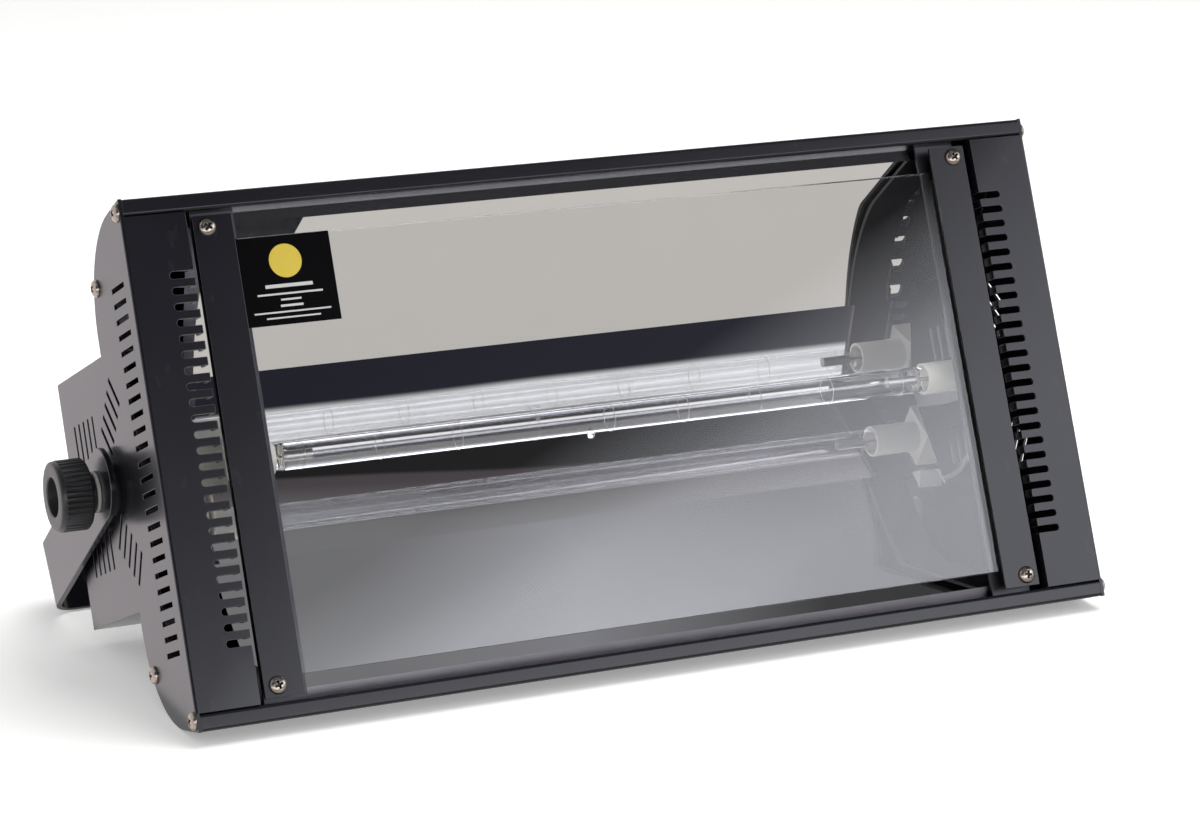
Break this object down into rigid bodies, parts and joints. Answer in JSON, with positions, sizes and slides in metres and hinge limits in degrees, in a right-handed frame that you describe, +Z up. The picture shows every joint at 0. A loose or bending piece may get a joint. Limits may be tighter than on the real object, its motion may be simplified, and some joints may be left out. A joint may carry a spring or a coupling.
{
  "type": "stage stroboscope",
  "caption": "Xenon strobe light: wide vented trough with a glass window, mirror reflector and straight flash tube, on a tilting yoke with two clamp knobs.",
  "frame": {"origin": "on the floor, under the middle of the lamp's outer box as it stands", "axes": "+X along the flash tube, from the window label's end to the other; -Y the way the window faces; +Z up"},
  "size_m": [0.4784, 0.2124, 0.2111],
  "materials": {
    "black_paint": "satin black powder coat",
    "window_glass": "clear float glass",
    "label_film": "printed film, blank with a warm panel",
    "mirror_aluminium": "polished aluminium sheet",
    "screw_steel": "bronze-tinted nickel",
    "black_screw": "black zinc",
    "zinc_steel": "zinc plated",
    "gasket_foam": "silicone foam",
    "quartz": "fused quartz",
    "tungsten": "bare tungsten",
    "steatite": "unglazed ceramic",
    "trigger_nickel": "drawn nickel wire",
    "silicone_lead": "white silicone sleeve",
    "circuit_board": "solder resist",
    "brass_post": "turned brass",
    "capacitor_sleeve": "shrink sleeve",
    "sink_aluminium": "black anodised",
    "package_epoxy": "moulded epoxy",
    "choke_copper": "enamelled copper winding",
    "potting_resin": "potted coil",
    "black_plastic": "glass-filled nylon",
    "rocker_plastic": "red rocker",
    "knob_plastic": "moulded knob",
    "latch_steel": "nickel plated",
    "nylon_white": "nylon"
  },
  "bodies": {
    "housing": {"board_standoffs": "brass_post", "bottom_cover": "black_paint", "capacitors": "capacitor_sleeve", "chassis_plate": "zinc_steel", "choke_coil": "choke_copper", "control_board": "circuit_board", "cover_screws": "black_screw", "end_plate_screws": "black_screw", "fan_frame": "black_plastic", "flash_tube": "quartz", "friction_washers": "nylon_white", "front_glass": "window_glass", "fuse_holder": "black_plastic", "heat_sink": "sink_aluminium", "intensity_potentiometer": "black_plastic", "lamp_electrodes": "tungsten", "left_end_plate": "black_paint", "left_glass_bracket": "zinc_steel", "left_glass_gaskets": "gasket_foam", "left_glass_retainer": "black_paint", "left_lamp_arm": "zinc_steel", "left_lamp_base": "steatite", "left_lamp_lead": "silicone_lead", "left_lamp_socket": "steatite", "pivot_nuts": "zinc_steel", "power_board": "circuit_board", "power_inlet": "black_plastic", "rate_potentiometer": "black_plastic", "rear_panel": "black_paint", "reflector": "mirror_aluminium", "retainer_screws": "screw_steel", "right_end_plate": "black_paint", "right_glass_bracket": "zinc_steel", "right_glass_gaskets": "gasket_foam", "right_glass_retainer": "black_paint", "right_lamp_arm": "zinc_steel", "right_lamp_base": "steatite", "right_lamp_lead": "silicone_lead", "right_lamp_socket": "steatite", "signal_input": "black_plastic", "signal_output": "black_plastic", "switch_frame": "black_plastic", "thyristors": "package_epoxy", "top_cover": "black_paint", "trigger_transformer": "potting_resin", "trigger_wire": "trigger_nickel", "window_label": "label_film"},
    "bracket": {"tilting_bracket": "black_paint"},
    "left_washer": {"left_knob_washer": "nylon_white"},
    "left_clamp": {"left_knob": "knob_plastic", "left_knob_stud": "zinc_steel"},
    "right_washer": {"right_knob_washer": "nylon_white"},
    "right_clamp": {"right_knob": "knob_plastic", "right_knob_stud": "zinc_steel"},
    "fan": {"fan_rotor": "black_plastic"},
    "rate_control": {"rate_knob": "knob_plastic"},
    "intensity_control": {"intensity_knob": "knob_plastic"},
    "rocker": {"switch_rocker": "rocker_plastic"},
    "latch": {"output_latch": "latch_steel"}
  },
  "joints": [
    {"name": "bracket_tilt", "type": "hinge", "parent": "housing", "child": "bracket", "pos_m": [0, 0.01083, 0.07771], "axis": [1, 0, 0], "range_deg": [-80, 108]},
    {"name": "left_washer_slide", "type": "slide", "parent": "housing", "child": "left_washer", "axis": [-1, 0, 0], "range_m": [0, 0.00251]},
    {"name": "left_clamp_turn", "type": "hinge", "parent": "left_washer", "child": "left_clamp", "pos_m": [-0.23, 0.01083, 0.07771], "axis": [-1, 0, 0], "range_deg": [0, 720]},
    {"name": "right_washer_slide", "type": "slide", "parent": "housing", "child": "right_washer", "axis": [1, 0, 0], "range_m": [0, 0.00251]},
    {"name": "right_clamp_turn", "type": "hinge", "parent": "right_washer", "child": "right_clamp", "pos_m": [0.23, 0.01083, 0.07771], "axis": [1, 0, 0], "range_deg": [0, 720]},
    {"name": "fan_spin", "type": "hinge", "parent": "housing", "child": "fan", "pos_m": [-0.193, 0.03615, 0.06697], "axis": [1, 0, 0], "continuous": true},
    {"name": "rate_turn", "type": "hinge", "parent": "housing", "child": "rate_control", "pos_m": [-0.022, 0.06146, 0.05622], "axis": [0, 0.9205, -0.3907], "range_deg": [-150, 150]},
    {"name": "intensity_turn", "type": "hinge", "parent": "housing", "child": "intensity_control", "pos_m": [0.022, 0.06146, 0.05622], "axis": [0, 0.9205, -0.3907], "range_deg": [-150, 150]},
    {"name": "rocker_tip", "type": "hinge", "parent": "housing", "child": "rocker", "pos_m": [-0.098, 0.06054, 0.05661], "axis": [0, 0.3907, 0.9205], "range_deg": [-16, 0]},
    {"name": "latch_press", "type": "slide", "parent": "housing", "child": "latch", "axis": [0, -0.9205, 0.3907], "range_m": [0, 0.002], "stiffness_N_per_m": 400, "springref_m": -0.0006}
  ],
  "couplings": [
    {"joint": "left_washer_slide", "follows": "left_clamp_turn", "m_per_rad": 0.00019894},
    {"joint": "right_washer_slide", "follows": "right_clamp_turn", "m_per_rad": 0.00019894}
  ]
}
